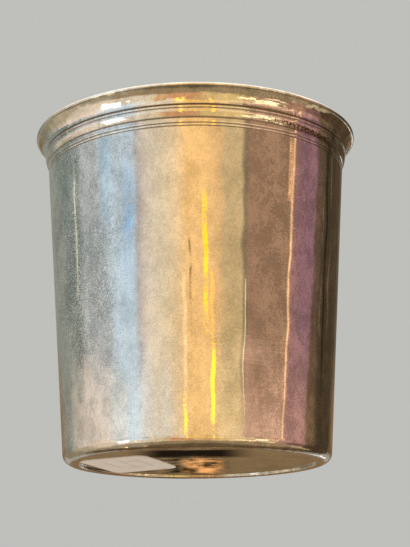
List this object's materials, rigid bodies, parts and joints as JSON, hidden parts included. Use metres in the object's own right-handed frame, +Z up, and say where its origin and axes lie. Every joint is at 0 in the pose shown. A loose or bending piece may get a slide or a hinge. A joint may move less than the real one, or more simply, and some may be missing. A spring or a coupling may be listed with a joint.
{
  "type": "silver beaker",
  "caption": "Tapered silver drinking beaker with a flared lip, a rounded band and fine turned lines under it, a rounded foot and a recessed base; stands on its foot ring and holds a drink.",
  "frame": {"origin": "centre of the foot ring, on the surface that the beaker stands on", "axes": "+Z up along the beaker's axis, out of its mouth; -Y towards the side that the picture shows"},
  "size_m": [0.0786, 0.0786, 0.08],
  "materials": {
    "silver_wall": "polished silver with fine turning marks and light toning",
    "silver_lip": "polished silver",
    "silver_foot": "polished silver, worn at the corner",
    "silver_base": "polished silver, toned",
    "hard_solder": "satin silver solder",
    "label_paper": "matt white paper"
  },
  "bodies": {
    "root": {"cup_wall": "silver_wall", "rim_moulding": "silver_lip", "foot_ring": "silver_foot", "base_disc": "silver_base", "solder_fillet": "hard_solder", "paper_label": "label_paper"}
  },
  "joints": []
}
